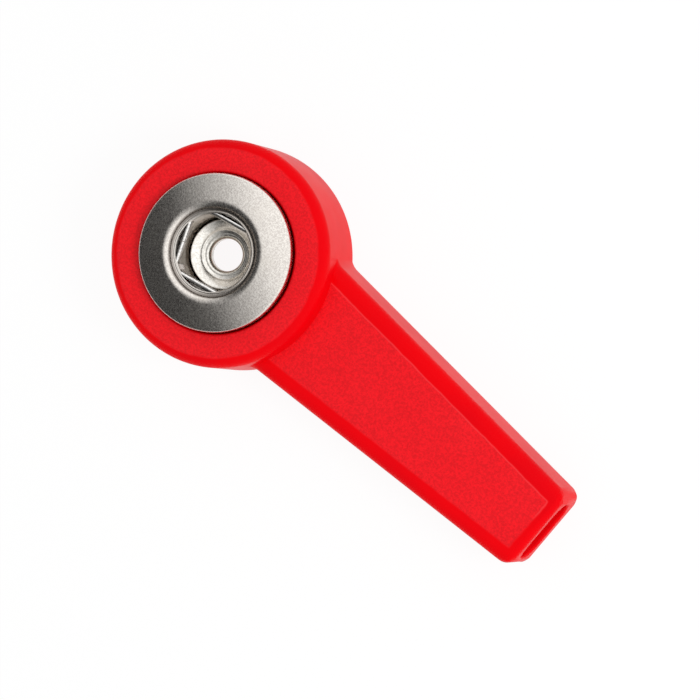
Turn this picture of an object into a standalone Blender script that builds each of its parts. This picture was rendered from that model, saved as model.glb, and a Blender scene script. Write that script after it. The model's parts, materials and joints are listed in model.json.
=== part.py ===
"""Press-stud lead adapter: a flat red moulding with a spring snap socket riveted in its round head.

Frame: +Z up out of the socket, +X from the head to the tail. The origin is on the flat back,
at the middle of the object's length and width.
"""
import math

import bmesh
import bpy
from mathutils import Vector

MM = 0.001

# Driving sizes, in millimetres. Radii and X distances are from the head's axis, heights from the back.
HEAD_RADIUS = 6.57
HEAD_HEIGHT = 5.55
HEAD_TOP_ROUND = 0.76
HEAD_FOOT_ROUND = 0.20
TAIL_REACH = 24.30
TAIL_THICKNESS = 3.95
TAIL_END_WIDTH = 5.34
TAIL_TAPER_DEG = 3.66
TAIL_TOP_ROUND = 0.90
TAIL_CORNER_ROUND = 1.00
TAIL_END_ROUND = 0.50
TAIL_FOOT_ROUND = 0.30
NECK_FILLET = 1.20
TAIL_BURIED_FROM = 4.00
TAIL_BARE_TO = 4.60

SEAT_RADIUS = 4.65
SEAT_EDGE_ROUND = 0.30
SEAT_DEPTH = 2.14
WEB_THICKNESS = 0.40
WEB_HOLE_RADIUS = 1.30
BACK_RECESS_RADIUS = 4.70

SLOT_WIDTH = 3.94
SLOT_HEIGHT = 2.10
SLOT_ROUND = 1.00
SLOT_START = 3.90

SHEET = 0.16
RIM_RADIUS = 4.57
HEM_RADIUS = 4.05
NECK_RADIUS = 2.14
NECK_FLANGE_RADIUS = 1.36
CREST_RADIUS = 2.78
CREST_RISE = 0.91
RIM_RISE = 0.56
HEM_DROP = 0.02
LIP_ROUND = 0.36
LIP_RISE = 0.52
NECK_FOOT_ROUND = 0.20
NECK_FOOT_RISE = 0.12

WIRE_RADIUS = 0.17
WIRE_INRADIUS = 2.00
WIRE_CORNER = 0.25
WIRE_RISE = 0.44
WIRE_CLEARANCE = 0.045
SPRING_BASE_DEG = 201.0
SPRING_LEGS_DEG = (102.0, 282.0)
SPRING_LEG_REACH = 1.95
SPRING_HALF_GAP = 0.04
WINDOW_HEIGHT = 0.52
WINDOW_REACH = 2.75
WINDOW_SHUT_REACH = 2.68
WINDOW_CORNER = 0.20

RETAINER_INNER = 2.32
RETAINER_OUTER = 4.20
RETAINER_THICKNESS = 0.12

EYELET_MOUTH_RADIUS = 1.94
EYELET_MOUTH_RISE = 0.70
EYELET_STEP_RADIUS = 1.36
EYELET_STEP_RISE = 0.40
EYELET_THROAT_RADIUS = 1.01
EYELET_FLARE_RADIUS = 1.20
EYELET_FOOT_RADIUS = 1.80

STRIP_THICKNESS = 0.20
STRIP_GAP = 0.04
TONGUE_RADIUS = 2.40
TONGUE_HOLE = 1.42
STRIP_WIDTH = 1.70
STRIP_END = 19.60
WASHER_OUTER = 2.15
WASHER_THICKNESS = 0.15
CRIMP_RADIUS = 0.80
CRIMP_WALL = 0.18
CRIMPS = ((12.60, 3.60), (17.40, 2.20))

TURN_STEPS = 64
METAL_STEPS = 48
HEAD_X = -(TAIL_REACH - HEAD_RADIUS) / 2.0
SEAT_FLOOR = HEAD_HEIGHT - SEAT_DEPTH
WEB_UNDERSIDE = SEAT_FLOOR - WEB_THICKNESS
WIRE_HEIGHT = HEAD_HEIGHT + WIRE_RISE
STRIP_TOP = WEB_UNDERSIDE - STRIP_GAP


def clear_scene():
    for item in list(bpy.data.objects):
        bpy.data.objects.remove(item, do_unlink=True)


def new_collection(name):
    collection = bpy.data.collections.new(name)
    bpy.context.scene.collection.children.link(collection)
    return collection


def material(name, color, roughness, metallic):
    made = bpy.data.materials.new(name)
    made.use_nodes = True
    shader = made.node_tree.nodes["Principled BSDF"]
    shader.inputs["Base Color"].default_value = (*color, 1.0)
    shader.inputs["Roughness"].default_value = roughness
    shader.inputs["Metallic"].default_value = metallic
    return made


def add_object(name, data, collection, finish=None, x=HEAD_X):
    item = bpy.data.objects.new(name, data)
    item.location = (x * MM, 0.0, 0.0)
    collection.objects.link(item)
    if finish:
        data.materials.append(finish)
    return item


def hide_cutter(item):
    item.hide_render = True
    item.display_type = "WIRE"


def arc(cx, cy, radius, start_deg, end_deg, count):
    """Points along an arc, both ends included."""
    points = []
    for i in range(count + 1):
        angle = math.radians(start_deg + (end_deg - start_deg) * i / count)
        points.append((cx + radius * math.cos(angle), cy + radius * math.sin(angle)))
    return points


def turned(name, profile, collection, finish=None, closed=False, steps=METAL_STEPS):
    """A profile of (radius, height) points turned about the head's axis."""
    mesh = bpy.data.meshes.new(name)
    verts = [(r * MM, 0.0, z * MM) for r, z in profile]
    edges = [(i, i + 1) for i in range(len(verts) - 1)]
    if closed:
        edges.append((len(verts) - 1, 0))
    mesh.from_pydata(verts, edges, [])
    item = add_object(name, mesh, collection, finish)
    screw = item.modifiers.new("turn", "SCREW")
    screw.steps = steps
    screw.render_steps = steps
    screw.use_merge_vertices = True
    screw.merge_threshold = 0.000001
    screw.use_smooth_shade = True
    return item


def add_thickness(item, thickness):
    solid = item.modifiers.new("sheet", "SOLIDIFY")
    solid.thickness = thickness * MM
    solid.offset = 0.0


def flat_plate(name, outlines, z_low, z_high, collection, finish=None):
    """A plate between two heights, from closed outlines; inner outlines are its holes."""
    curve = bpy.data.curves.new(name + "_outline", "CURVE")
    curve.dimensions = "2D"
    curve.fill_mode = "BOTH"
    curve.extrude = (z_high - z_low) / 2.0 * MM
    for points in outlines:
        spline = curve.splines.new("POLY")
        spline.points.add(len(points) - 1)
        for point, (x, y) in zip(spline.points, points):
            point.co = (x * MM, y * MM, 0.0, 1.0)
        spline.use_cyclic_u = True
    drawn = add_object(name + "_outline", curve, collection)
    drawn.location.z = (z_low + z_high) / 2.0 * MM
    return mesh_from_curve(name, drawn, collection, finish)


def mesh_from_curve(name, drawn, collection, finish):
    """The curve's evaluated shape as a closed mesh object in the same place."""
    bpy.context.view_layer.update()
    graph = bpy.context.evaluated_depsgraph_get()
    mesh = bpy.data.meshes.new_from_object(drawn.evaluated_get(graph))
    mesh.name = name
    work = bmesh.new()
    work.from_mesh(mesh)
    bmesh.ops.remove_doubles(work, verts=work.verts, dist=0.000001)
    bmesh.ops.recalc_face_normals(work, faces=work.faces)
    work.to_mesh(mesh)
    work.free()
    mesh.materials.clear()
    item = bpy.data.objects.new(name, mesh)
    item.matrix_world = drawn.matrix_world.copy()
    collection.objects.link(item)
    if finish:
        mesh.materials.append(finish)
    bpy.data.objects.remove(drawn, do_unlink=True)
    return item


def combine(item, other, operation):
    boolean = item.modifiers.new(other.name, "BOOLEAN")
    boolean.operation = operation
    boolean.solver = "EXACT"
    boolean.object = other
    hide_cutter(other)


def ring(radius, count=METAL_STEPS):
    return arc(0.0, 0.0, radius, 0.0, 360.0, count)[:-1]


def tail_side():
    """One side of the tail's plan: the neck fillet on the head, then the straight taper."""
    slope = math.radians(TAIL_TAPER_DEG)
    normal = Vector((math.sin(slope), math.cos(slope)))
    along = Vector((math.cos(slope), -math.sin(slope)))
    offset = normal.dot(Vector((TAIL_REACH, TAIL_END_WIDTH / 2.0)))
    circle = HEAD_RADIUS - 0.04
    run = math.sqrt((circle + NECK_FILLET) ** 2 - (offset + NECK_FILLET) ** 2)
    centre = normal * (offset + NECK_FILLET) + along * run
    start = math.degrees(math.atan2(-centre.y, -centre.x))
    end = math.degrees(math.atan2(-normal.y, -normal.x))
    points = arc(centre.x, centre.y, NECK_FILLET, start, end, 6)
    points.append((TAIL_REACH, TAIL_END_WIDTH / 2.0))
    return points


def make_tail_block(cutters):
    """The flat tapered tail, buried in the head at its inner end, with its edges rounded."""
    side = tail_side()
    plan = [(TAIL_BURIED_FROM, side[0][1])] + side
    plan += [(x, -y) for x, y in reversed(plan)]
    mesh = bpy.data.meshes.new("tail_block")
    work = bmesh.new()
    low = [work.verts.new((x * MM, y * MM, 0.0)) for x, y in plan]
    face = work.faces.new(low)
    grown = bmesh.ops.extrude_face_region(work, geom=[face])
    top = [v for v in grown["geom"] if isinstance(v, bmesh.types.BMVert)]
    bmesh.ops.translate(work, verts=top, vec=(0.0, 0.0, TAIL_THICKNESS * MM))
    bmesh.ops.recalc_face_normals(work, faces=work.faces)
    weight = work.edges.layers.float.new("bevel_weight_edge")
    tip = (TAIL_REACH - 0.01) * MM
    bare = TAIL_BARE_TO * MM
    for edge in work.edges:
        a, b = (v.co for v in edge.verts)
        if min(a.x, b.x) < bare:
            continue
        upright = abs(a.z - b.z) > 0.5 * MM
        at_tip = min(a.x, b.x) > tip
        if upright:
            size = TAIL_CORNER_ROUND if at_tip else 0.0
        elif a.z < 0.5 * MM:
            size = TAIL_FOOT_ROUND
        else:
            size = TAIL_END_ROUND if at_tip else TAIL_TOP_ROUND
        edge[weight] = size / TAIL_TOP_ROUND
    work.to_mesh(mesh)
    work.free()
    block = add_object("tail_block", mesh, cutters)
    bevel = block.modifiers.new("edges", "BEVEL")
    bevel.width = TAIL_TOP_ROUND * MM
    bevel.segments = 5
    bevel.limit_method = "WEIGHT"
    return block


def make_tail_cavity(cutters):
    """The round-cornered hollow that runs from the back recess out through the tail's end."""
    length = TAIL_REACH + 1.0 - SLOT_START
    mesh = bpy.data.meshes.new("tail_cavity")
    work = bmesh.new()
    bmesh.ops.create_cube(work, size=1.0)
    size = Vector((length, SLOT_WIDTH, SLOT_HEIGHT)) * MM
    bmesh.ops.scale(work, vec=size, verts=work.verts)
    weight = work.edges.layers.float.new("bevel_weight_edge")
    for edge in work.edges:
        if abs(edge.verts[0].co.x - edge.verts[1].co.x) > 1.0 * MM:
            edge[weight] = 1.0
    work.to_mesh(mesh)
    work.free()
    cavity = add_object("tail_cavity", mesh, cutters)
    cavity.location.x += (SLOT_START + length / 2.0) * MM
    cavity.location.z = TAIL_THICKNESS / 2.0 * MM
    bevel = cavity.modifiers.new("corners", "BEVEL")
    bevel.width = SLOT_ROUND * MM
    bevel.segments = 6
    bevel.limit_method = "WEIGHT"
    return cavity


def make_head_bore(cutters):
    """The space inside the head: the socket's seat, the web's hole and the open back recess."""
    over = 1.0
    lip = arc(SEAT_RADIUS + SEAT_EDGE_ROUND, HEAD_HEIGHT - SEAT_EDGE_ROUND, SEAT_EDGE_ROUND, 90.0, 180.0, 4)
    profile = [(0.0, HEAD_HEIGHT + over), (SEAT_RADIUS + SEAT_EDGE_ROUND, HEAD_HEIGHT + over)]
    profile += lip
    profile += [
        (SEAT_RADIUS, SEAT_FLOOR),
        (WEB_HOLE_RADIUS, SEAT_FLOOR),
        (WEB_HOLE_RADIUS, WEB_UNDERSIDE),
        (BACK_RECESS_RADIUS, WEB_UNDERSIDE),
        (BACK_RECESS_RADIUS, -over),
        (0.0, -over),
    ]
    return turned("head_bore", profile, cutters, steps=TURN_STEPS)


def make_body(parts, cutters):
    red = material("red_plastic", (0.80, 0.01, 0.02), 0.45, 0.0)
    shoulder = arc(HEAD_RADIUS - HEAD_TOP_ROUND, HEAD_HEIGHT - HEAD_TOP_ROUND, HEAD_TOP_ROUND, 90.0, 0.0, 6)
    foot = arc(HEAD_RADIUS - HEAD_FOOT_ROUND, HEAD_FOOT_ROUND, HEAD_FOOT_ROUND, 0.0, -90.0, 2)
    profile = [(0.0, HEAD_HEIGHT)] + shoulder + foot + [(0.0, 0.0)]
    body = turned("body", profile, parts, red, steps=TURN_STEPS)
    combine(body, make_tail_block(cutters), "UNION")
    combine(body, make_head_bore(cutters), "DIFFERENCE")
    combine(body, make_tail_cavity(cutters), "DIFFERENCE")
    return body


def wire_corner(leg_deg, inradius, corner, steps):
    """The rounded corner of the spring's line, from its base to the leg that faces the given way."""
    middle = math.radians((SPRING_BASE_DEG + leg_deg) / 2.0)
    half_turn = math.radians((SPRING_BASE_DEG - leg_deg) / 2.0)
    reach = (inradius - corner) / math.cos(half_turn)
    across, along = reach * math.cos(middle), reach * math.sin(middle)
    return arc(across, along, corner, SPRING_BASE_DEG, leg_deg, steps)


def wire_point(face_deg, along):
    """A point on the straight that faces the given way, so far along it from its middle."""
    face = math.radians(face_deg)
    return (
        WIRE_INRADIUS * math.cos(face) - along * math.sin(face),
        WIRE_INRADIUS * math.sin(face) + along * math.cos(face),
    )


def make_window_cutter(cutters):
    """The band of the neck that the spring's base and two legs stand in; the fourth side is shut."""
    inradius = WIRE_INRADIUS - WIRE_RADIUS - WIRE_CLEARANCE
    first, last = SPRING_LEGS_DEG
    inside = list(reversed(wire_corner(first, inradius, WINDOW_CORNER, 3)))
    inside += wire_corner(last, inradius, WINDOW_CORNER, 3)
    leg_exit = math.degrees(math.acos(inradius / WINDOW_SHUT_REACH))
    inside += arc(0.0, 0.0, WINDOW_SHUT_REACH, last + leg_exit, first - leg_exit + 360.0, 6)
    low = WIRE_HEIGHT - WINDOW_HEIGHT / 2.0
    return flat_plate("window_band", [ring(WINDOW_REACH), inside], low, low + WINDOW_HEIGHT, cutters)


def crown():
    """The face's gentle rise from the rim to its crest, then the start of the roll into the neck."""
    top = HEAD_HEIGHT + CREST_RISE
    start = RIM_RADIUS - SHEET / 2.0 - (RIM_RISE + HEM_DROP) / 2.0
    points = []
    for share in (0.38, 0.72, 1.0):
        fall = (1.0 - share) ** 2 * (CREST_RISE - RIM_RISE)
        points.append((start + (CREST_RADIUS - start) * share, top - fall))
    return points


def make_socket_shell(parts, cutters):
    nickel = material("nickel", (0.62, 0.58, 0.54), 0.30, 1.0)
    rim = RIM_RADIUS - SHEET / 2.0
    hem = HEAD_HEIGHT - HEM_DROP
    bead = (RIM_RISE + HEM_DROP) / 2.0
    foot = SEAT_FLOOR + NECK_FOOT_RISE
    profile = [(HEM_RADIUS, hem)]
    profile += arc(rim - bead, hem + bead, bead, -90.0, 90.0, 8)
    profile += crown()
    profile += arc(NECK_RADIUS + LIP_ROUND, HEAD_HEIGHT + LIP_RISE, LIP_ROUND, 100.0, 180.0, 5)
    profile += arc(NECK_RADIUS - NECK_FOOT_ROUND, foot + NECK_FOOT_ROUND, NECK_FOOT_ROUND, 0.0, -90.0, 3)
    profile.append((NECK_FLANGE_RADIUS, foot))
    shell = turned("socket_shell", profile, parts, nickel)
    add_thickness(shell, SHEET)
    combine(shell, make_window_cutter(cutters), "DIFFERENCE")
    return shell


def make_spring_half(name, leg_deg, parts):
    """Half of the U-shaped spring: half of its base, one corner and one leg."""
    steel = material(name + "_steel", (0.70, 0.68, 0.66), 0.22, 1.0)
    toward = 1.0 if leg_deg > SPRING_BASE_DEG else -1.0
    points = [wire_point(SPRING_BASE_DEG, toward * SPRING_HALF_GAP / 2.0)]
    points += wire_corner(leg_deg, WIRE_INRADIUS, WIRE_CORNER, 5)
    points.append(wire_point(leg_deg, toward * SPRING_LEG_REACH))
    curve = bpy.data.curves.new(name + "_line", "CURVE")
    curve.dimensions = "3D"
    curve.bevel_depth = WIRE_RADIUS * MM
    curve.bevel_resolution = 3
    curve.use_fill_caps = True
    spline = curve.splines.new("POLY")
    spline.points.add(len(points) - 1)
    for point, (x, y) in zip(spline.points, points):
        point.co = (x * MM, y * MM, 0.0, 1.0)
    drawn = add_object(name + "_line", curve, parts)
    drawn.location.z = WIRE_HEIGHT * MM
    wire = mesh_from_curve(name, drawn, parts, steel)
    for polygon in wire.data.polygons:
        polygon.use_smooth = True
    return wire


def make_spring_retainer(parts):
    steel = material("retainer_steel", (0.55, 0.53, 0.50), 0.35, 1.0)
    low = WIRE_HEIGHT - WIRE_RADIUS - STRIP_GAP - RETAINER_THICKNESS
    high = low + RETAINER_THICKNESS
    profile = [(RETAINER_INNER, high), (RETAINER_OUTER, high), (RETAINER_OUTER, low), (RETAINER_INNER, low)]
    return turned("spring_retainer", profile, parts, steel, closed=True)


def make_eyelet(parts):
    """Tubular rivet: a stepped funnel mouth, a narrow throat, a barrel that flares to a rolled foot."""
    brass = material("eyelet_nickel", (0.66, 0.62, 0.57), 0.25, 1.0)
    throat = EYELET_THROAT_RADIUS
    flare = EYELET_FLARE_RADIUS
    foot = STRIP_TOP - STRIP_THICKNESS - WASHER_THICKNESS - 2.0 * STRIP_GAP - SHEET / 2.0
    profile = [
        (EYELET_MOUTH_RADIUS, SEAT_FLOOR + EYELET_MOUTH_RISE),
        (EYELET_STEP_RADIUS, SEAT_FLOOR + EYELET_STEP_RISE),
        (throat + 0.10, SEAT_FLOOR + 0.24),
        (throat, SEAT_FLOOR + 0.08),
        (throat, SEAT_FLOOR),
        (flare, foot + 0.30),
        (flare + 0.07, foot + 0.08),
        (flare + 0.20, foot),
        (EYELET_FOOT_RADIUS, foot),
    ]
    eyelet = turned("eyelet", profile, parts, brass)
    add_thickness(eyelet, SHEET)
    return eyelet


def make_back_washer(parts):
    steel = material("washer_steel", (0.60, 0.58, 0.55), 0.30, 1.0)
    high = STRIP_TOP - STRIP_THICKNESS - STRIP_GAP
    low = high - WASHER_THICKNESS
    profile = [(TONGUE_HOLE, high), (WASHER_OUTER, high), (WASHER_OUTER, low), (TONGUE_HOLE, low)]
    return turned("back_washer", profile, parts, steel, closed=True)


def make_barrel(name, start, length, radius, cutters):
    """A round bar along the tail, level with the crimp barrels' axis."""
    mesh = bpy.data.meshes.new(name)
    work = bmesh.new()
    bmesh.ops.create_cone(
        work, cap_ends=True, segments=24, radius1=radius * MM, radius2=radius * MM, depth=length * MM)
    work.to_mesh(mesh)
    work.free()
    bar = add_object(name, mesh, cutters)
    bar.rotation_euler.y = math.radians(90.0)
    bar.location.x += (start + length / 2.0) * MM
    bar.location.z = (STRIP_TOP - CRIMP_RADIUS) * MM
    return bar


def make_contact_strip(parts, cutters):
    """Ring tongue under the web, a strip down the tail and two barrels that grip a lead's end."""
    brass = material("contact_brass", (0.72, 0.60, 0.36), 0.30, 1.0)
    half = STRIP_WIDTH / 2.0
    join = math.degrees(math.asin(half / TONGUE_RADIUS))
    outline = arc(0.0, 0.0, TONGUE_RADIUS, join, 360.0 - join, 40)
    outline += [(STRIP_END, -half), (STRIP_END, half)]
    low = STRIP_TOP - STRIP_THICKNESS
    strip = flat_plate("contact_strip", [outline, ring(TONGUE_HOLE, 40)], low, STRIP_TOP, parts, brass)
    for index, (start, length) in enumerate(CRIMPS):
        barrel = make_barrel("barrel_%d" % index, start, length, CRIMP_RADIUS, cutters)
        combine(strip, barrel, "UNION")
        bore = make_barrel("bore_%d" % index, start - 0.5, length + 1.0, CRIMP_RADIUS - CRIMP_WALL, cutters)
        combine(strip, bore, "DIFFERENCE")
    return strip


def main():
    clear_scene()
    parts = new_collection("snap_lead_adapter")
    cutters = new_collection("cutters")
    make_body(parts, cutters)
    make_socket_shell(parts, cutters)
    make_spring_half("spring_half_front", SPRING_LEGS_DEG[0], parts)
    make_spring_half("spring_half_rear", SPRING_LEGS_DEG[1], parts)
    make_spring_retainer(parts)
    make_eyelet(parts)
    make_back_washer(parts)
    make_contact_strip(parts, cutters)
    bpy.context.view_layer.update()


main()
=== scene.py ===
import json
import math

import bmesh
import bpy
from mathutils import Matrix, Vector


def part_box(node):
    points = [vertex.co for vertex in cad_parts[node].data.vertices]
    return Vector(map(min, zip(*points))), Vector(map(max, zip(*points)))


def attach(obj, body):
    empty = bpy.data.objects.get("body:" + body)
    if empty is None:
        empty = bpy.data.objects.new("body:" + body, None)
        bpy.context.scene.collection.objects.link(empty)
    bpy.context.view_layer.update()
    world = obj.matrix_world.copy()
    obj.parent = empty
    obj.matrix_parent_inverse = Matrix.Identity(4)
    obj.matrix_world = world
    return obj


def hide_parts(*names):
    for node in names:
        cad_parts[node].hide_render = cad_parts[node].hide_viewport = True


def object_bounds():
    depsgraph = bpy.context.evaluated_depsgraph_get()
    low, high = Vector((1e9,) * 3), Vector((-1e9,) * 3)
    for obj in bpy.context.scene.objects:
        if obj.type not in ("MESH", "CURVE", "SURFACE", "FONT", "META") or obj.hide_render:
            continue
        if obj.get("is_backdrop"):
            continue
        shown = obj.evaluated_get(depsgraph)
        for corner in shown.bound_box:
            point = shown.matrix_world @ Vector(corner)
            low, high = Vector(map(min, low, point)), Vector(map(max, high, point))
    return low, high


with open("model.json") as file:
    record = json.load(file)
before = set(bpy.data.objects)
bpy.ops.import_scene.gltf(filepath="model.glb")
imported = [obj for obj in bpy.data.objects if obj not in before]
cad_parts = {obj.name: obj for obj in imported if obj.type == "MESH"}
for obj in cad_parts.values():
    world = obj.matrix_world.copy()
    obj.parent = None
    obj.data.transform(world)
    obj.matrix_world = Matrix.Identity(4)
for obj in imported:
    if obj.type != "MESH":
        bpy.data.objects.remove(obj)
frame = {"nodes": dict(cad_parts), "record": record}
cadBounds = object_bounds()
mm = 0.001

mounts = {m["name"]: Vector(m["pos_m"]) / mm for m in frame["record"]["mounts"]}
boxes = {name: [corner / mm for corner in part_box(name)] for name in frame["nodes"]}
headRadius = boxes["body"][1].y
headX = boxes["body"][0].x + headRadius
tipX = boxes["body"][1].x
ringTop = mounts["socket_ring_face"].z
crestTop = boxes["socket_shell"][1].z
rimRadius = boxes["socket_shell"][1].y
mouthRise = 0.76                            # the rivet's mouth stands this far above the web
seatFloor = boxes["eyelet"][1].z - mouthRise
wireZ = (boxes["spring_half_front"][0].z + boxes["spring_half_front"][1].z) / 2
wireRadius = (boxes["spring_half_front"][1].z - boxes["spring_half_front"][0].z) / 2
stripGap = 0.04                             # between the strip and the washer under it
stripLow = boxes["back_washer"][1].z + stripGap
stripTop = boxes["contact_strip"][1].z
print("frame: %d nodes, head axis at %.3f mm" % (len(frame["nodes"]), headX))


class Wire:
    def __init__(self, graph, socket):
        self.graph = graph
        self.socket = socket

    def __add__(self, other):
        return self.graph.maths("ADD", self, other)

    def __radd__(self, other):
        return self.graph.maths("ADD", other, self)

    def __sub__(self, other):
        return self.graph.maths("SUBTRACT", self, other)

    def __rsub__(self, other):
        return self.graph.maths("SUBTRACT", other, self)

    def __mul__(self, other):
        return self.graph.maths("MULTIPLY", self, other)

    def __rmul__(self, other):
        return self.graph.maths("MULTIPLY", other, self)

    def __truediv__(self, other):
        return self.graph.maths("DIVIDE", self, other)

    def __rtruediv__(self, other):
        return self.graph.maths("DIVIDE", other, self)


class Graph:
    def __init__(self, tree):
        self.tree = tree

    def node(self, kind, settings=None, values=None):
        made = self.tree.nodes.new(kind)
        for name, value in (settings or {}).items():
            setattr(made, name, value)
        for name, value in (values or {}).items():
            self.feed(self.find(made.inputs, name), value)
        return Outputs(self, made)

    def find(self, sockets, name):
        if isinstance(name, int):
            return sockets[name]
        for socket in sockets:
            if name == socket.identifier or (name == socket.name and socket.enabled):
                return socket
        raise KeyError(name)

    def feed(self, socket, value):
        if isinstance(value, Wire):
            self.tree.links.new(value.socket, socket)
        elif isinstance(value, (tuple, list)) and socket.type == "RGBA":
            socket.default_value = (*value, 1.0)
        else:
            socket.default_value = value

    def maths(self, operation, *values):
        settings = {"operation": operation}
        return self.node("ShaderNodeMath", settings, dict(enumerate(values)))[0]

    def blend(self, first, second, factor, mode="MIX"):
        settings = {"data_type": "RGBA", "blend_type": mode}
        values = {"Factor_Float": factor, "A_Color": first, "B_Color": second}
        return self.node("ShaderNodeMix", settings, values)["Result_Color"]

    def span(self, value, low, high):
        settings = {"interpolation_type": "SMOOTHSTEP"}
        values = {"Value": value, "From Min": low, "From Max": high}
        return self.node("ShaderNodeMapRange", settings, values)["Result"]


class Outputs:
    def __init__(self, graph, made):
        self.graph = graph
        self.made = made

    def __getitem__(self, name):
        return Wire(self.graph, self.graph.find(self.made.outputs, name))


def newFinish(name):
    finish = bpy.data.materials.new(name)
    finish.use_nodes = True
    finish.node_tree.nodes.clear()
    return finish, Graph(finish.node_tree)


def closeFinish(graph, shader):
    graph.node("ShaderNodeOutputMaterial", None, {"Surface": shader})


def noise(graph, where, scale, detail=2.0, roughness=0.5):
    values = {"Vector": where, "Scale": scale, "Detail": detail, "Roughness": roughness}
    return graph.node("ShaderNodeTexNoise", None, values)["Fac"]


def bump(graph, height, strength, distance):
    values = {"Strength": strength, "Distance": distance, "Height": height}
    return graph.node("ShaderNodeBump", None, values)["Normal"]


redLook = {
    "smooth": (0.83, 0.0004, 0.0035),
    "smoothDeep": (0.76, 0.0006, 0.0045),
    "grained": (0.84, 0.0070, 0.0135),
    "grainedPale": (0.86, 0.013, 0.020),
    "brink": (0.95, 0.060, 0.070),     # painted highlight: a pale line where the etched flat ends, for light caught by its edge step
    "smoothRough": 0.34,
    "grainRough": 0.50,
    "smoothShine": 0.04,
    "grainShine": 0.14,
    "pebble": 7000.0,
    "fine": 12500.0,
    "toneLow": 0.85,
    "toneHigh": 1.10,
    "grainBump": 0.85,
    "insetSide": (0.90, 1.06),
    "insetEnd": (0.55, 0.75),
    "grainDepth": 0.00004,
    "cloud": 260.0,                    # broad drift of colour
    "flow": 900.0,                     # slow waves of the smooth walls
    "pebbleShare": 0.65,
    "fineShare": 0.35,
    "reliefSpan": (0.38, 0.62),
    "deepSpan": (0.35, 0.75),
    "paleSpan": (0.45, 0.8),
    "paleShare": 0.4,
    "brinkShare": 0.85,
    "smoothRoughSpread": 0.08,
    "grainRoughSpread": 0.30,
    "smoothBump": 0.25,
    "smoothDepth": 0.000012,
    "wander": 0.00025,                 # how far the etched edge strays, in metres
    "ringFade": (0.06, 0.01),
    "wallClear": 0.1,
    "headClear": 0.3,
    "brinkFrom": (0.0, 1.0),
}


def grainMask(g, look, where, jitter):
    marked = g.node("ShaderNodeAttribute", {"attribute_name": "grain"})["Fac"]
    place = g.node("ShaderNodeSeparateXYZ", None, {"Vector": where})
    wander = (jitter - 0.5) * look["wander"]
    ringLow, ringHigh = ((ringTop - fade) * mm for fade in look["ringFade"])
    onRing = g.span(place["Z"] + wander * 0.2, ringLow, ringHigh)
    toTip = tipX * mm - place["X"] + wander
    taper = math.tan(math.radians(bodySizes["taperDeg"]))
    halfWidth = toTip * taper + bodySizes["tailEndWidth"] / 2 * mm
    toSide = halfWidth - g.maths("ABSOLUTE", place["Y"]) + wander * 0.4
    onTail = g.span(toSide, *(inset * mm for inset in look["insetSide"]))
    onTail = onTail * g.span(toTip, *(inset * mm for inset in look["insetEnd"]))
    clearFrom = (bodySizes["tailThickness"] + look["wallClear"]) * mm
    lowDown = 1.0 - g.span(place["Z"], clearFrom, (ringTop - look["headClear"]) * mm)
    onTail = marked * onTail * lowDown
    # painted highlight: a thin pale line along the etched edge, only on the +Y side that faces the key
    # light
    sideFrom, sideTo = look["brinkFrom"]
    brink = onTail * (1.0 - onTail) * 4.0 * g.span(place["Y"], sideFrom * mm, sideTo * mm)
    return marked * onRing + onTail, brink


def redPlastic():
    finish, g = newFinish("redPlastic")
    look = redLook
    where = g.node("ShaderNodeTexCoord")["Object"]
    pebble = noise(g, where, look["pebble"], 3.0, 0.55)
    fine = noise(g, where, look["fine"], 2.0)
    cloud = noise(g, where, look["cloud"], 3.0)
    flow = noise(g, where, look["flow"], 2.0)
    grained, brink = grainMask(g, look, where, flow)
    relief = pebble * look["pebbleShare"] + fine * look["fineShare"]
    low, high = look["toneLow"], look["toneHigh"]
    grainTone = g.blend((low, low, low), (high, high, high), g.span(relief, *look["reliefSpan"]))
    plain = g.blend(look["smooth"], look["smoothDeep"], g.span(cloud, *look["deepSpan"]))
    pale = g.span(cloud, *look["paleSpan"]) * look["paleShare"]
    etched = g.blend(look["grained"], look["grainedPale"], pale)
    etched = g.blend(etched, grainTone, 1.0, "MULTIPLY")
    # painted highlight laid over the etched colour along its edge
    etched = g.blend(etched, look["brink"], brink * look["brinkShare"])
    smoothRough = look["smoothRough"] + (flow - 0.5) * look["smoothRoughSpread"]
    grainRough = look["grainRough"] + (relief - 0.5) * look["grainRoughSpread"]
    smoothBump = bump(g, flow, look["smoothBump"], look["smoothDepth"])
    grainBump = bump(g, relief, look["grainBump"], look["grainDepth"])
    smooth = g.node("ShaderNodeBsdfPrincipled", None, {
        "Base Color": plain, "Roughness": smoothRough, "Normal": smoothBump,
        "Specular IOR Level": look["smoothShine"]})
    rough = g.node("ShaderNodeBsdfPrincipled", None, {
        "Base Color": etched, "Roughness": grainRough, "Normal": grainBump,
        "Specular IOR Level": look["grainShine"]})
    values = {"Fac": grained, 1: smooth["BSDF"], 2: rough["BSDF"]}
    closeFinish(g, g.node("ShaderNodeMixShader", None, values)["Shader"])
    return finish


metalWearAndShade = {
    "faceFade": 0.25, "broad": 700.0, "shadeSpan": (0.35, 0.68), "plainShade": 0.6,
    "tintSpan": (0.45, 0.8), "tintShare": 0.3,
    # painted shade: how the darker ring fades in and out, and how strongly it darkens the metal
    "grimeFadeIn": 0.03, "grimeFadeOut": 0.08, "grimeShare": 0.75,
    "broadRough": 0.06, "broadBump": 0.15,
}


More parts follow.
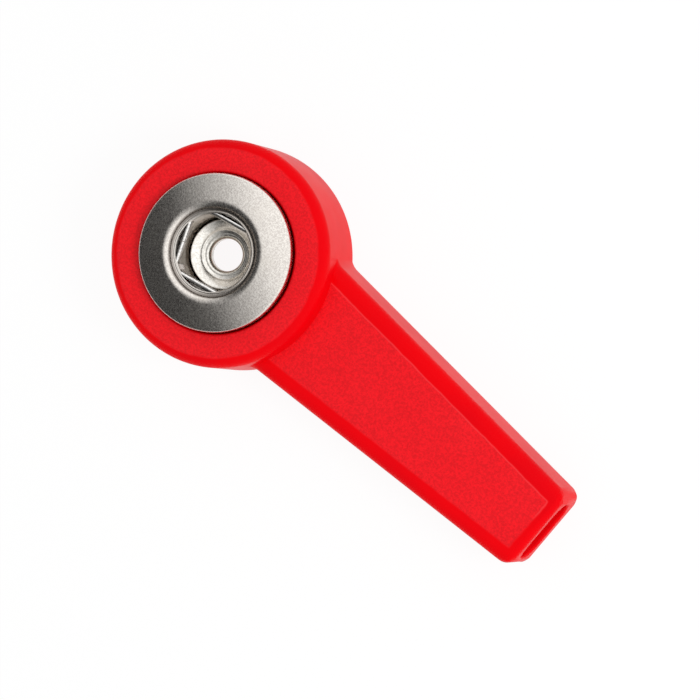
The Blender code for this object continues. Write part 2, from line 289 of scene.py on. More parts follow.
def platedMetal(name, look):
    finish, g = newFinish(name)
    wearAndShade = metalWearAndShade
    where = g.node("ShaderNodeTexCoord")["Object"]
    parts = g.node("ShaderNodeSeparateXYZ", None, {"Vector": where})
    across = parts["X"] - headX * mm
    radial = g.maths("SQRT", across * across + parts["Y"] * parts["Y"])
    face = g.span(radial, look["grainFrom"] * mm, (look["grainFrom"] + wearAndShade["faceFade"]) * mm)
    speck = noise(g, where, look["speck"], 2.0, 0.6)
    broad = noise(g, where, wearAndShade["broad"], 3.0)
    mask = face * (1.0 - look["calm"]) + look["calm"]
    shade = g.span(speck, *wearAndShade["shadeSpan"])
    tone = g.blend(look["dark"], look["light"], shade * mask + (1.0 - mask) * wearAndShade["plainShade"])
    tone = g.blend(tone, look["tint"], g.span(broad, *wearAndShade["tintSpan"]) * wearAndShade["tintShare"])
    # painted shade: a darker ring of radii round the head axis stands in for the shade in the groove or
    # hollow there
    low, high = look["groove"]
    started = g.span(radial, (low - wearAndShade["grimeFadeIn"]) * mm, low * mm)
    ended = g.span(radial, high * mm, (high + wearAndShade["grimeFadeOut"]) * mm)
    tone = g.blend(tone, look["grime"], started * (1.0 - ended) * wearAndShade["grimeShare"])
    grainRough = (speck - 0.5) * look["roughSpread"] * mask
    rough = look["rough"] + grainRough + (broad - 0.5) * wearAndShade["broadRough"]
    relief = bump(g, speck * mask + broad * wearAndShade["broadBump"], look["bump"], look["depth"])
    metal = g.node("ShaderNodeBsdfPrincipled", None, {
        "Base Color": tone, "Metallic": 1.0, "Roughness": rough, "Normal": relief})
    closeFinish(g, metal["BSDF"])
    return finish


# The last two entries of each look paint shade: the radii of a darker ring round the head axis, and its
# tone; on the nickel face it is the groove between the crown's roll and the lip.
nickelLook = {"dark": (0.56, 0.52, 0.485), "light": (0.79, 0.75, 0.70), "tint": (0.68, 0.63, 0.56),
              "speck": 10500.0, "rough": 0.28, "roughSpread": 0.24, "bump": 0.55, "depth": 0.000010,
              "grainFrom": 2.3, "calm": 0.15, "groove": (2.43, 2.60), "grime": (0.20, 0.17, 0.15)}
eyeletLook = {"dark": (0.68, 0.65, 0.60), "light": (0.90, 0.87, 0.82), "tint": (0.82, 0.78, 0.70),
              "speck": 6200.0, "rough": 0.24, "roughSpread": 0.12, "bump": 0.25, "depth": 0.000008,
              "grainFrom": 0.0, "calm": 0.4, "groove": (0.95, 1.02), "grime": (0.30, 0.27, 0.22)}
springLook = {"dark": (0.60, 0.58, 0.56), "light": (0.86, 0.84, 0.82), "tint": (0.74, 0.72, 0.68),
              "speck": 9000.0, "rough": 0.20, "roughSpread": 0.16, "bump": 0.35, "depth": 0.000008,
              "grainFrom": 0.0, "calm": 0.8, "groove": (2.30, 2.60), "grime": (0.30, 0.28, 0.26)}
steelLook = {"dark": (0.36, 0.35, 0.33), "light": (0.56, 0.54, 0.51), "tint": (0.42, 0.40, 0.37),
             "speck": 4200.0, "rough": 0.38, "roughSpread": 0.20, "bump": 0.35, "depth": 0.000012,
             "grainFrom": 0.0, "calm": 0.6, "groove": (2.10, 2.30), "grime": (0.24, 0.20, 0.15)}
brassLook = {"dark": (0.60, 0.44, 0.20), "light": (0.78, 0.62, 0.34), "tint": (0.66, 0.50, 0.28),
             "speck": 3600.0, "rough": 0.30, "roughSpread": 0.16, "bump": 0.30, "depth": 0.000010,
             "grainFrom": 0.0, "calm": 0.6, "groove": (2.10, 2.30), "grime": (0.24, 0.20, 0.15)}

bodySizes = {
    "headTopRound": 0.76, "headFootRound": 0.20,
    "tailThickness": 3.95, "tailEndWidth": 5.34, "taperDeg": 3.66,
    "tailTopRound": 0.90, "tailEndRound": 0.50, "tailFootRound": 0.30, "tipCornerRound": 1.00,
    "neckFillet": 1.20, "overlap": 0.04, "buriedFrom": 4.0,
    "seatRadius": 4.61, "seatEdgeRound": 0.20, "webThickness": 0.40, "webHole": 1.30,
    "backRecess": 4.70, "backEdgeRound": 0.15,
    "slotWidth": 3.94, "slotHeight": 2.10, "slotRound": 1.00, "slotFrom": 3.90, "slotMouthRound": 0.16,
    "turnSteps": 256, "bevelSteps": 12, "roundSteps": 14, "mouthSteps": 8,
    "bevelClear": 0.6, "cutOver": 0.5, "boreOver": 1.0, "sharpDeg": 32.0,
    "grainLevel": 0.12, "grainFacing": 0.85,     # which faces of the moulding are etched
}

finishes = {
    "red": redPlastic(),
    "nickel": platedMetal("satinNickel", nickelLook),
    "eyelet": platedMetal("eyeletNickel", eyeletLook),
    "spring": platedMetal("springWire", springLook),
    "steel": platedMetal("dullSteel", steelLook),
    "brass": platedMetal("contactBrass", brassLook),
}
print("finishes: %d" % len(finishes))


def arcPoints(x, z, radius, startDeg, endDeg, count):
    step = (endDeg - startDeg) / count
    angles = [math.radians(startDeg + step * i) for i in range(count + 1)]
    return [(x + radius * math.cos(a), z + radius * math.sin(a)) for a in angles]


def newPiece(name, mesh):
    piece = bpy.data.objects.new(name, mesh)
    bpy.context.scene.collection.objects.link(piece)
    return piece


def lineMesh(name, points):
    mesh = bpy.data.meshes.new(name)
    mesh.from_pydata([Vector(p) * mm for p in points], [(i, i + 1) for i in range(len(points) - 1)], [])
    return mesh


def runTree(piece, tree, values):
    modifier = piece.modifiers.new(tree.name, "NODES")
    modifier.node_group = tree
    for item in tree.interface.items_tree:
        if item.in_out == "INPUT" and item.name in values:
            modifier[item.identifier] = values[item.name]


weldGap = 0.0000005


def makePlain(piece, weld=weldGap):
    bpy.context.view_layer.update()
    graph = bpy.context.evaluated_depsgraph_get()
    mesh = bpy.data.meshes.new_from_object(piece.evaluated_get(graph))
    piece.modifiers.clear()
    piece.data = mesh
    if weld:
        work = bmesh.new()
        work.from_mesh(mesh)
        bmesh.ops.remove_doubles(work, verts=work.verts, dist=weld)
        bmesh.ops.dissolve_degenerate(work, edges=work.edges, dist=weld)
        bmesh.ops.recalc_face_normals(work, faces=work.faces)
        work.to_mesh(mesh)
        work.free()
    return piece


def carve(piece, other, operation="DIFFERENCE"):
    boolean = piece.modifiers.new("carve", "BOOLEAN")
    boolean.operation = operation
    boolean.solver = "EXACT"
    boolean.object = other
    makePlain(piece)
    bpy.data.objects.remove(other, do_unlink=True)


def finishPiece(piece, finish, body, nodes, sharpDeg):
    piece.data.materials.clear()
    piece.data.materials.append(finish)
    piece.data.shade_smooth()
    piece.data.set_sharp_from_angle(angle=math.radians(sharpDeg))
    even = piece.modifiers.new("evenNormals", "WEIGHTED_NORMAL")
    even.keep_sharp = True
    even.weight = 60
    makePlain(piece, 0.0)
    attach(piece, body)
    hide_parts(*nodes)


def addSockets(tree, inputs):
    for name, kind in inputs.items():
        tree.interface.new_socket(name, in_out="INPUT", socket_type="NodeSocket" + kind)
    tree.interface.new_socket("Piece", in_out="OUTPUT", socket_type="NodeSocketGeometry")


def closeTree(g, geometry, finish):
    real = g.node("GeometryNodeRealizeInstances", None, {"Geometry": geometry})["Geometry"]
    values = {"Geometry": real, "Material": finish}
    painted = g.node("GeometryNodeSetMaterial", None, values)["Geometry"]
    g.node("NodeGroupOutput", None, {"Piece": painted})


def turnTree():
    tree = bpy.data.node_groups.new("turnProfile", "GeometryNodeTree")
    addSockets(tree, {"Profile": "Geometry", "Steps": "Int", "Axis X": "Float", "Finish": "Material"})
    g = Graph(tree)
    given = g.node("NodeGroupInput")
    counted = {"Geometry": given["Profile"]}
    count = g.node("GeometryNodeAttributeDomainSize", {"component": "MESH"}, counted)["Point Count"]
    cells = {"Vertices X": given["Steps"] + 1, "Vertices Y": count}
    sheet = g.node("GeometryNodeMeshGrid", None, cells)
    index = g.node("GeometryNodeInputIndex")["Index"]
    column = g.maths("FLOOR", (index + 0.5) / count)
    row = g.maths("ROUND", index - column * count)
    place = g.node("GeometryNodeInputPosition")["Position"]
    taken = g.node("GeometryNodeSampleIndex", {"data_type": "FLOAT_VECTOR", "domain": "POINT"}, {
        "Geometry": given["Profile"], "Value": place, "Index": row})["Value"]
    point = g.node("ShaderNodeSeparateXYZ", None, {"Vector": taken})
    angle = column / given["Steps"] * math.tau
    spot = g.node("ShaderNodeCombineXYZ", None, {
        "X": given["Axis X"] + point["X"] * g.maths("COSINE", angle),
        "Y": point["X"] * g.maths("SINE", angle),
        "Z": point["Z"]})["Vector"]
    moved = g.node("GeometryNodeSetPosition", None, {"Geometry": sheet["Mesh"], "Position": spot})
    close = {"Geometry": moved["Geometry"], "Distance": 0.0000004}
    merged = g.node("GeometryNodeMergeByDistance", None, close)["Geometry"]
    closeTree(g, merged, given["Finish"])
    return tree


def sweepTree():
    tree = bpy.data.node_groups.new("sweepWire", "GeometryNodeTree")
    addSockets(tree, {"Path": "Geometry", "Radius": "Float", "Sides": "Int", "Spacing": "Float",
                      "Finish": "Material"})
    g = Graph(tree)
    given = g.node("NodeGroupInput")
    line = g.node("GeometryNodeMeshToCurve", None, {"Mesh": given["Path"]})["Curve"]
    spaced = {"Curve": line, "Length": given["Spacing"]}
    even = g.node("GeometryNodeResampleCurve", {"mode": "LENGTH"}, spaced)["Curve"]
    section = {"Resolution": given["Sides"], "Radius": given["Radius"]}
    circle = g.node("GeometryNodeCurvePrimitiveCircle", None, section)
    tube = g.node("GeometryNodeCurveToMesh", None, {
        "Curve": even, "Profile Curve": circle["Curve"], "Fill Caps": True})["Mesh"]
    closeTree(g, tube, given["Finish"])
    return tree


def roundTree():
    tree = bpy.data.node_groups.new("repeatRound", "GeometryNodeTree")
    addSockets(tree, {"Shape": "Geometry", "Count": "Int", "Axis X": "Float", "Turn": "Float",
                      "Step": "Float", "Skew": "Float", "Finish": "Material"})
    g = Graph(tree)
    given = g.node("NodeGroupInput")
    still = {"Count": given["Count"], "Offset": (0.0, 0.0, 0.0)}
    line = g.node("GeometryNodeMeshLine", None, still)["Mesh"]
    index = g.node("GeometryNodeInputIndex")["Index"]
    every = g.maths("MODULO", index, 2.0)
    angle = given["Turn"] + index * given["Step"] + every * given["Skew"]
    turn = g.node("ShaderNodeCombineXYZ", None, {"Z": angle})["Vector"]
    copies = g.node("GeometryNodeInstanceOnPoints", None, {
        "Points": line, "Instance": given["Shape"], "Rotation": turn})["Instances"]
    shift = g.node("ShaderNodeCombineXYZ", None, {"X": given["Axis X"]})["Vector"]
    real = g.node("GeometryNodeRealizeInstances", None, {"Geometry": copies})["Geometry"]
    moved = g.node("GeometryNodeSetPosition", None, {"Geometry": real, "Offset": shift})["Geometry"]
    closeTree(g, moved, given["Finish"])
    return tree


trees = {"turn": turnTree(), "sweep": sweepTree(), "round": roundTree()}


def turned(name, profile, finish, steps):
    loop = list(profile)
    if Vector(loop[0]) != Vector(loop[-1]) and (loop[0][0] > 0.0 or loop[-1][0] > 0.0):
        loop.append(loop[0])
    piece = newPiece(name, lineMesh(name, [(r, 0.0, z) for r, z in loop]))
    values = {"Steps": steps, "Axis X": headX * mm, "Finish": finish}
    runTree(piece, trees["turn"], values)
    return makePlain(piece)


def loft(name, rings):
    mesh = bpy.data.meshes.new(name)
    work = bmesh.new()
    rows = [[work.verts.new(Vector(p) * mm) for p in ring] for ring in rings]
    count = len(rows[0])
    for low, high in zip(rows, rows[1:]):
        for i in range(count):
            j = (i + 1) % count
            work.faces.new((low[i], low[j], high[j], high[i]))
    work.faces.new(rows[0])
    work.faces.new(rows[-1])
    bmesh.ops.recalc_face_normals(work, faces=work.faces)
    work.to_mesh(mesh)
    work.free()
    return newPiece(name, mesh)


def tailOutline(s):
    slope = math.radians(s["taperDeg"])
    normal = Vector((math.sin(slope), math.cos(slope)))
    along = Vector((math.cos(slope), -math.sin(slope)))
    corner = Vector((tipX - headX, s["tailEndWidth"] / 2))
    offset = normal.dot(corner)
    circle = headRadius - s["overlap"]
    run = math.sqrt((circle + s["neckFillet"]) ** 2 - (offset + s["neckFillet"]) ** 2)
    centre = normal * (offset + s["neckFillet"]) + along * run
    startDeg = math.degrees(math.atan2(-centre.y, -centre.x))
    endDeg = math.degrees(math.atan2(-normal.y, -normal.x))
    side = arcPoints(centre.x, centre.y, s["neckFillet"], startDeg, endDeg, s["roundSteps"])
    side = [(s["buriedFrom"], side[0][1])] + side + [tuple(corner)]
    return side + [(x, -y) for x, y in reversed(side)]


def tailBlock(s):
    mesh = bpy.data.meshes.new("tailBlock")
    work = bmesh.new()
    low = [work.verts.new(((headX + x) * mm, y * mm, 0.0)) for x, y in tailOutline(s)]
    grown = bmesh.ops.extrude_face_region(work, geom=[work.faces.new(low)])
    top = [v for v in grown["geom"] if isinstance(v, bmesh.types.BMVert)]
    bmesh.ops.translate(work, verts=top, vec=(0.0, 0.0, s["tailThickness"] * mm))
    bmesh.ops.recalc_face_normals(work, faces=work.faces)
    weight = work.edges.layers.float.new("bevel_weight_edge")
    for edge in work.edges:
        a, b = (v.co / mm for v in edge.verts)
        atTip = min(a.x, b.x) > tipX - 0.01
        if min(a.x, b.x) < headX + s["buriedFrom"] + s["bevelClear"]:
            continue
        if abs(a.z - b.z) > 0.5:
            size = s["tipCornerRound"] if atTip else 0.0
        elif a.z < 0.5:
            size = s["tailFootRound"]
        else:
            size = s["tailEndRound"] if atTip else s["tailTopRound"]
        edge[weight] = size / s["tailTopRound"]
    work.to_mesh(mesh)
    work.free()
    block = newPiece("tailBlock", mesh)
    bevel = block.modifiers.new("edges", "BEVEL")
    bevel.width = s["tailTopRound"] * mm
    bevel.segments = s["bevelSteps"]
    bevel.limit_method = "WEIGHT"
    return makePlain(block)


def slotRing(s, x, grow):
    across = s["slotWidth"] / 2 - s["slotRound"]
    up = s["slotHeight"] / 2 - s["slotRound"]
    middle = s["tailThickness"] / 2
    ring = []
    for quarter, (sy, sz) in enumerate(((1, 1), (-1, 1), (-1, -1), (1, -1))):
        start = 90 * quarter
        y, z = sy * across, middle + sz * up
        corner = arcPoints(y, z, s["slotRound"] + grow, start, start + 90, s["roundSteps"])
        ring += [(x, y, z) for y, z in corner]
    return ring


def slotCutter(s):
    mouth = s["slotMouthRound"]
    rings = [slotRing(s, headX + s["slotFrom"], 0.0), slotRing(s, tipX - mouth, 0.0)]
    for step in range(1, s["mouthSteps"] + 1):
        angle = math.radians(90.0 * step / s["mouthSteps"])
        rings.append(slotRing(s, tipX - mouth + mouth * math.sin(angle), mouth * (1 - math.cos(angle))))
    rings.append(slotRing(s, tipX + s["cutOver"], mouth))
    return loft("slotCutter", rings)


def boreCutter(s):
    over = s["boreOver"]
    edge = s["seatEdgeRound"]
    underside = seatFloor - s["webThickness"]
    foot = s["backEdgeRound"]
    profile = [(0.0, ringTop + over), (s["seatRadius"] + edge, ringTop + over)]
    profile += arcPoints(s["seatRadius"] + edge, ringTop - edge, edge, 90, 180, 8)
    profile += [(s["seatRadius"], seatFloor), (s["webHole"], seatFloor), (s["webHole"], underside)]
    profile.append((s["backRecess"], underside))
    profile += arcPoints(s["backRecess"] + foot, foot, foot, 180, 270, 6)
    profile += [(s["backRecess"] + foot, -over), (0.0, -over)]
    return turned("boreCutter", profile, finishes["red"], s["turnSteps"])


def markGrain(mesh, s):
    flat = mesh.attributes.new("grain", "FLOAT", "FACE")
    for polygon in mesh.polygons:
        level = polygon.center.z / mm
        onTop = min(abs(level - ringTop), abs(level - s["tailThickness"])) < s["grainLevel"]
        flat.data[polygon.index].value = 1.0 if polygon.normal.z > s["grainFacing"] and onTop else 0.0


def redBody(s):
    top = s["headTopRound"]
    shoulder = arcPoints(headRadius - top, ringTop - top, top, 90, 0, 16)
    foot = arcPoints(headRadius - s["headFootRound"], s["headFootRound"], s["headFootRound"], 0, -90, 6)
    profile = [(0.0, ringTop)] + shoulder + foot + [(0.0, 0.0)]
    piece = turned("redMoulding", profile, finishes["red"], s["turnSteps"])
    carve(piece, tailBlock(s), "UNION")
    carve(piece, boreCutter(s))
    carve(piece, slotCutter(s))
    finishPiece(piece, finishes["red"], "adapter", ["body"], s["sharpDeg"])
    markGrain(piece.data, s)


redBody(bodySizes)
print("red moulding made")


springSizes = {"inradius": 2.00, "corner": 0.25, "legDeg": 102.0, "skewDeg": 9.0, "legReach": 1.95,
               "gap": 0.04, "spacing": 0.03, "sides": 24, "sharpDeg": 50.0}

shellSizes = {
    "crest": 2.92, "rollRound": 0.42, "rollUnder": 0.28, "rollDeg": 160,
    "lipX": 2.33, "lipRise": 0.66, "lipRound": 0.05, "lipRoot": ((0.0, 0.09), (0.02, 0.05)),
    "neck": 2.20, "neckWall": 0.10, "floorTop": 3.61, "floorRound": 0.20, "floorInner": 1.34,
    "sheet": 0.16, "rimRound": 0.22, "slope": 0.22, "curve": 0.045,
    "hemRound": 0.16, "hemInner": 4.05, "hemLow": 5.45,
    "windowHalf": 1.30, "windowHeight": 0.42, "windowIn": 1.60, "windowOut": 2.60,
    "hemLift": 0.02, "backClear": 0.06, "crownOver": 0.1,
    "windows": 3, "windowStepDeg": 90.0, "turnSteps": 256, "crownSteps": 14, "sharpDeg": 40.0,
}


def crownLine(s, shift):
    tilt = math.atan(s["slope"])
    fromX = s["crest"] + s["rollRound"] * math.sin(tilt)
    fromZ = crestTop - s["rollRound"] * (1 - math.cos(tilt))
    reach = rimRadius - s["rimRound"] - fromX + s["crownOver"]
    points = []
    for step in range(1, s["crownSteps"] + 1):
        run = reach * step / s["crownSteps"]
        fall = s["slope"] * run + s["curve"] * run * run
        tilt = math.atan(s["slope"] + 2 * s["curve"] * run)
        points.append((fromX + run - shift * math.sin(tilt), fromZ - fall - shift * math.cos(tilt)))
    return points, math.degrees(tilt)


def shellProfile(s):
    lipZ = ringTop + s["lipRise"]
    floorZ = s["floorTop"]
    wall = s["neckWall"]
    seen = [(s["floorInner"], floorZ)]
    seen += arcPoints(s["neck"] - s["floorRound"], floorZ + s["floorRound"], s["floorRound"], -90, 0, 8)
    seen += [(s["neck"] + out, lipZ - drop) for out, drop in s["lipRoot"]]
    seen += arcPoints(s["lipX"], lipZ, s["lipRound"], 180, 0, 10)
    outerDeg = 90 - math.degrees(math.atan(s["slope"]))
    rollZ = crestTop - s["rollRound"]
    seen += arcPoints(s["crest"], rollZ, s["rollRound"], s["rollDeg"], outerDeg, 18)
    crown, slopeDeg = crownLine(s, 0.0)
    seen += crown
    rim = s["rimRound"]
    rimZ = crown[-1][1] - rim * math.cos(math.radians(slopeDeg))
    seen += arcPoints(rimRadius - rim, rimZ, rim, 90 - slopeDeg, 0, 10)[1:]
    hem = s["hemRound"]
    seen += arcPoints(rimRadius - hem, s["hemLow"] + hem, hem, 0, -90, 6)
    seen.append((s["hemInner"], s["hemLow"]))
    inside = rimRadius - s["sheet"]
    hemTop = s["hemLow"] + s["sheet"]
    under = [(s["hemInner"], hemTop), (inside, hemTop + s["hemLift"]), (inside, rimZ - s["hemLift"])]
    back = reversed(crownLine(s, s["sheet"])[0])
    under += [(r, z) for r, z in back if r < inside - s["backClear"]]
    under += arcPoints(s["crest"], rollZ, s["rollUnder"], 90, s["rollDeg"], 8)
    under.append((s["neck"] + wall, lipZ - s["backClear"]))
    turn = s["floorRound"]
    under += arcPoints(s["neck"] - turn, floorZ + turn, turn + wall, 0, -90, 8)
    under.append((s["floorInner"], floorZ - wall))
    return seen + under


def windowCutter(s):
    half = s["windowHeight"] / 2
    rings = []
    for x in (s["windowIn"], s["windowOut"]):
        ends = [(s["windowHalf"] - half, -90, 90), (half - s["windowHalf"], 90, 270)]
        ring = []
        for centre, start, end in ends:
            ring += [(x, y, z) for y, z in arcPoints(centre, wireZ, half, start, end, 12)]
        rings.append(ring)
    cutter = loft("windowCutter", rings)
    values = {"Count": s["windows"], "Axis X": headX * mm, "Turn": math.radians(springSizes["legDeg"]),
              "Step": math.radians(s["windowStepDeg"]), "Skew": math.radians(springSizes["skewDeg"]),
              "Finish": finishes["nickel"]}
    runTree(cutter, trees["round"], values)
    return makePlain(cutter)


def socketShell(s):
    piece = turned("socketFace", shellProfile(s), finishes["nickel"], s["turnSteps"])
    carve(piece, windowCutter(s))
    finishPiece(piece, finishes["nickel"], "adapter", ["socket_shell"], s["sharpDeg"])


socketShell(shellSizes)
print("socket face made")


def wirePoint(s, faceDeg, along):
    face = math.radians(faceDeg)
    across = s["inradius"] * math.cos(face) - along * math.sin(face)
    return headX + across, s["inradius"] * math.sin(face) + along * math.cos(face)


def springHalf(name, node, body, s, legDeg, toward):
    baseDeg = s["legDeg"] + 90 + s["skewDeg"]
    middle = math.radians((baseDeg + legDeg) / 2)
    reach = (s["inradius"] - s["corner"]) / math.cos(math.radians((baseDeg - legDeg) / 2))
    cornerX, cornerY = headX + reach * math.cos(middle), reach * math.sin(middle)
    points = [wirePoint(s, baseDeg, toward * s["gap"] / 2)]
    points += arcPoints(cornerX, cornerY, s["corner"], baseDeg, legDeg, 14)
    points.append(wirePoint(s, legDeg, toward * s["legReach"]))
    piece = newPiece(name, lineMesh(name, [(x, y, wireZ) for x, y in points]))
    values = {"Radius": wireRadius * mm, "Sides": s["sides"], "Spacing": s["spacing"] * mm,
              "Finish": finishes["spring"]}
    runTree(piece, trees["sweep"], values)
    makePlain(piece)
    finishPiece(piece, finishes["spring"], body, [node], s["sharpDeg"])


legDeg = springSizes["legDeg"]
springHalf("springWireFront", "spring_half_front", "spring_front", springSizes, legDeg, -1)
springHalf("springWireRear", "spring_half_rear", "spring_rear", springSizes, legDeg + 180, 1)
print("spring made")


eyeletSizes = {
    "mouth": 2.02, "mouthRound": 0.05, "throat": 0.93, "throatRound": 0.28, "wall": 0.16,
    "throatDrop": 0.70, "throatFoot": 0.20, "backDrop": 0.66, "backOut": 0.20, "backRound": 0.15,
    "mouthBack": (0.04, 0.15), "flare": 1.12, "flareRise": 0.38, "footOuter": 1.80, "footRound": 0.06,
    "turnSteps": 160, "sharpDeg": 45.0,
    "dish": ((1.80, 0.10), (1.66, 0.18), (1.54, 0.26), (1.46, 0.32),
             (1.42, 0.36), (1.38, 0.375), (1.32, 0.38)),     # radius, depth under the top
    "dishBack": ((1.44, 0.52), (1.62, 0.38), (1.82, 0.27)),
    "foot": ((0.04, 0.24), (0.11, 0.12), (0.20, 0.04), (0.30, 0.0)),     # past the flare, rise
    "footBack": ((0.34, 0.14), (0.24, 0.22)),
}


def eyeletProfile(s):
    top = boxes["eyelet"][1].z
    footZ = boxes["eyelet"][0].z
    throat, flare, wall = s["throat"], s["flare"], s["wall"]
    mouthRound, throatRound, footRound = s["mouthRound"], s["throatRound"], s["footRound"]
    flareZ = footZ + s["flareRise"]
    throatZ = seatFloor - s["throatFoot"]
    backZ = top - s["backDrop"]
    seen = arcPoints(s["mouth"] - mouthRound, top - mouthRound, mouthRound, 0, 120, 6)
    seen += [(r, top - depth) for r, depth in s["dish"]]
    seen += arcPoints(throat + throatRound, top - s["throatDrop"], throatRound, 80, 180, 12)
    seen += [(throat, throatZ), (flare, flareZ)]
    seen += [(flare + past, footZ + rise) for past, rise in s["foot"]]
    seen.append((s["footOuter"] - footRound, footZ))
    seen += arcPoints(s["footOuter"] - footRound, footZ + footRound, footRound, -90, 90, 6)
    hidden = [(flare + past, footZ + rise) for past, rise in s["footBack"]]
    hidden += [(flare + wall, flareZ), (throat + wall, throatZ), (throat + wall, backZ)]
    hidden += arcPoints(throat + wall + s["backOut"], backZ, s["backRound"], 170, 100, 6)
    hidden += [(r, top - depth) for r, depth in s["dishBack"]]
    inward, depth = s["mouthBack"]
    hidden.append((s["mouth"] - inward, top - depth))
    return seen + hidden


def eyelet(s):
    piece = turned("rivetEyelet", eyeletProfile(s), finishes["eyelet"], s["turnSteps"])
    finishPiece(piece, finishes["eyelet"], "adapter", ["eyelet"], s["sharpDeg"])


eyelet(eyeletSizes)


def roundedRing(inner, outer, low, high, edge):
    corners = [(outer - edge, high - edge, 90, 0), (outer - edge, low + edge, 0, -90)]
    corners += [(inner + edge, low + edge, -90, -180), (inner + edge, high - edge, 180, 90)]
    profile = []
    for r, z, start, end in corners:
        profile += arcPoints(r, z, edge, start, end, 4)
    return profile


washerSizes = {
    "springPlate": {"node": "spring_retainer", "inner": 2.33, "edge": 0.03,
                    "turnSteps": 128, "sharpDeg": 45.0},
    "rivetWasher": {"node": "back_washer", "inner": 1.42, "edge": 0.04,
                    "turnSteps": 128, "sharpDeg": 45.0},
}


def washer(name, s):
    low, high = boxes[s["node"]]
    profile = roundedRing(s["inner"], high.y, low.z, high.z, s["edge"])
    piece = turned(name, profile, finishes["steel"], s["turnSteps"])
    finishPiece(piece, finishes["steel"], "adapter", [s["node"]], s["sharpDeg"])


for name, sizes in washerSizes.items():
    washer(name, sizes)
print("rivet and washers made")


contactSizes = {"tongue": 2.40, "hole": 1.42, "width": 1.70, "barrel": 0.80, "wall": 0.18, "edge": 0.03,
                "barrels": ((12.60, 3.60), (17.40, 2.20)),     # where each starts, how long it is
                "grooves": 3, "swell": 0.02, "lipFlare": 0.06, "boreOver": 0.4, "endRound": 0.3,
                "rings": 14, "sides": 40, "tongueSteps": 96, "holeSteps": 72, "sharpDeg": 35.0,
                "bevelFromDeg": 50.0}


def platePiece(name, outer, hole, low, high):
    curve = bpy.data.curves.new(name, "CURVE")
    curve.dimensions = "2D"
    curve.fill_mode = "BOTH"
    curve.extrude = (high - low) / 2 * mm
    for points in (outer, hole):
        spline = curve.splines.new("POLY")
        spline.points.add(len(points) - 1)
        for point, (x, y) in zip(spline.points, points):
            point.co = (x * mm, y * mm, 0.0, 1.0)
        spline.use_cyclic_u = True
    piece = newPiece(name, curve)
    bpy.context.view_layer.update()
    graph = bpy.context.evaluated_depsgraph_get()
    mesh = bpy.data.meshes.new_from_object(piece.evaluated_get(graph))
    mesh.transform(Matrix.Translation((headX * mm, 0.0, (low + high) / 2 * mm)))
    bpy.data.objects.remove(piece, do_unlink=True)
    return makePlain(newPiece(name, mesh))


def crimpBarrel(s, start, length):
    axisZ = stripTop - s["barrel"]
    rings = []
    inside = []
    count, over = s["rings"], s["boreOver"]
    for step in range(count + 1):
        x = headX + start + length * step / count
        swell = s["swell"] * math.cos(math.tau * s["grooves"] * step / count)
        flare = s["lipFlare"] if step in (0, count) else 0.0
        outer = s["barrel"] - s["swell"] + swell * 0.5
        inner = outer - s["wall"] + flare
        rings.append([(x, y, z) for y, z in arcPoints(0.0, axisZ, outer, 0, 360, s["sides"])[:-1]])
        inside.append([(x, y, z) for y, z in arcPoints(0.0, axisZ, inner, 0, 360, s["sides"])[:-1]])
    first = [(x - over, y, z) for x, y, z in inside[0]]
    last = [(x + over, y, z) for x, y, z in inside[-1]]
    inside = [first] + inside + [last]
    return loft("crimpOuter", rings), loft("crimpInner", inside)


def contactStrip(s):
    half = s["width"] / 2
    joinDeg = math.degrees(math.asin(half / s["tongue"]))
    outer = arcPoints(0.0, 0.0, s["tongue"], joinDeg, 360 - joinDeg, s["tongueSteps"])
    end = boxes["contact_strip"][1].x - headX
    corner = s["endRound"]
    outer += arcPoints(end - corner, corner - half, corner, -90, 0, 6)
    outer += arcPoints(end - corner, half - corner, corner, 0, 90, 6)
    hole = arcPoints(0.0, 0.0, s["hole"], 0, 360, s["holeSteps"])[:-1]
    piece = platePiece("contactStrip", outer, hole, stripLow, stripTop)
    bevel = piece.modifiers.new("edges", "BEVEL")
    bevel.width = s["edge"] * mm
    bevel.segments = 2
    bevel.angle_limit = math.radians(s["bevelFromDeg"])
    makePlain(piece)
    for start, length in s["barrels"]:
        outside, inside = crimpBarrel(s, start, length)
        carve(piece, outside, "UNION")
        carve(piece, inside)
    finishPiece(piece, finishes["brass"], "adapter", ["contact_strip"], s["sharpDeg"])


contactStrip(contactSizes)
print("contact made")


studio = {
    "floorSize": 3.0, "floorDrop": 0.00001, "floorRough": 0.9,
    "floorGlow": 0.92, "floorTone": (0.08, 0.08, 0.08),
    "brightSide": (0.5225, 0.8526, 0.0), "darkSky": 0.06,
    "skySteps": ((0.62, -0.45, -0.05), (0.68, -0.05, 0.24)),
    "fillSky": 0.77, "shownSky": 0.98,
}


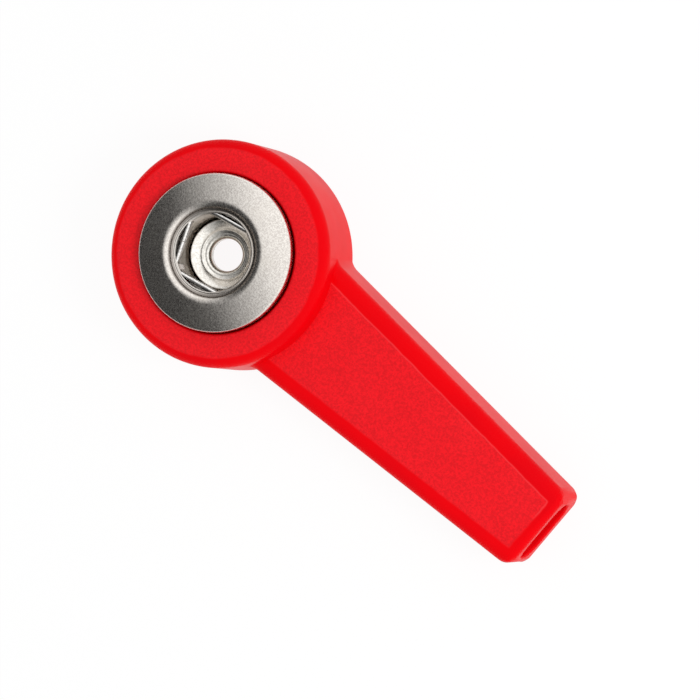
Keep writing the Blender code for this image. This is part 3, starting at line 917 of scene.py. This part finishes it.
def paleFloor(s):
    mesh = bpy.data.meshes.new("paleFloor")
    work = bmesh.new()
    bmesh.ops.create_grid(work, x_segments=1, y_segments=1, size=s["floorSize"] / 2)
    bmesh.ops.translate(work, verts=work.verts, vec=(0.0, 0.0, -s["floorDrop"]))
    work.to_mesh(mesh)
    work.free()
    floor = newPiece("paleFloor", mesh)
    finish, g = newFinish("paleFloor")
    shader = g.node("ShaderNodeBsdfPrincipled", None, {
        "Base Color": s["floorTone"], "Roughness": s["floorRough"], "Specular IOR Level": 0.0,
        "Emission Color": (1.0, 1.0, 1.0), "Emission Strength": s["floorGlow"]})
    closeFinish(g, shader["BSDF"])
    mesh.materials.append(finish)
    floor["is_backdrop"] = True


def studioWorld(s):
    world = bpy.data.worlds.new("studio")
    bpy.context.scene.world = world
    world.use_nodes = True
    world.node_tree.nodes.clear()
    world.cycles.sampling_method = "NONE"
    g = Graph(world.node_tree)
    direction = g.node("ShaderNodeTexCoord")["Generated"]
    towards = {0: direction, 1: s["brightSide"]}
    side = g.node("ShaderNodeVectorMath", {"operation": "DOT_PRODUCT"}, towards)["Value"]
    mirrored = s["darkSky"]
    for rise, low, high in s["skySteps"]:
        mirrored = g.span(side, low, high) * rise + mirrored
    ray = g.node("ShaderNodeLightPath")
    glossy = ray["Is Glossy Ray"]
    seen = ray["Is Camera Ray"]
    strength = mirrored * glossy + s["shownSky"] * seen + s["fillSky"] * (1.0 - glossy) * (1.0 - seen)
    values = {"Color": (1.0, 1.0, 1.0), "Strength": strength}
    sky = g.node("ShaderNodeBackground", None, values)["Background"]
    g.node("ShaderNodeOutputWorld", None, {"Surface": sky})


keyLight = {"place": (0.10, 0.05, 0.12), "target": (0.0, 0.0, 0.0), "size": 0.06, "power": 0.094}


def areaLight(name, s):
    data = bpy.data.lights.new(name, "AREA")
    data.shape = "DISK"
    data.size = s["size"]
    data.energy = s["power"]
    light = newPiece(name, data)
    light.location = s["place"]
    towards = Vector(s["target"]) - Vector(s["place"])
    light.rotation_euler = towards.to_track_quat("-Z", "Y").to_euler()
    light.visible_glossy = False       # the sky alone gives the metal its reflections


cameraSetup = {"lens": 205.71, "azimuthDeg": 34.178, "elevationDeg": 74.284, "rollDeg": -83.529,
               "distance": 228.57, "aimOffset": (0.273, 0.588, 0.06),
               "sensor": 36.0, "seesFrom": 0.01, "seesTo": 20.0}


def placeCamera(s):
    low, high = cadBounds
    aim = (low + high) / 2 + Vector(s["aimOffset"]) * mm
    azimuth, elevation = math.radians(s["azimuthDeg"]), math.radians(s["elevationDeg"])
    flat = math.cos(elevation)
    back = Vector((math.cos(azimuth) * flat, math.sin(azimuth) * flat, math.sin(elevation)))
    level = Vector((0.0, 0.0, 1.0)).cross(back).normalized()
    upright = back.cross(level)
    roll = math.radians(s["rollDeg"])
    right = level * math.cos(roll) + upright * math.sin(roll)
    up = back.cross(right)
    data = bpy.data.cameras.new("camera")
    data.lens = s["lens"]
    data.sensor_width = s["sensor"]
    data.clip_start = s["seesFrom"]
    data.clip_end = s["seesTo"]
    camera = newPiece("camera", data)
    turn = Matrix((right, up, back)).transposed().to_4x4()
    camera.matrix_world = Matrix.Translation(aim + back * s["distance"] * mm) @ turn
    bpy.context.scene.camera = camera


paleFloor(studio)
studioWorld(studio)
areaLight("keyLight", keyLight)
placeCamera(cameraSetup)
bpy.context.scene.view_settings.view_transform = "Standard"
print("studio set")

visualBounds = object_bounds()
sizes = {"cad": [list(c) for c in cadBounds], "visual": [list(c) for c in visualBounds]}
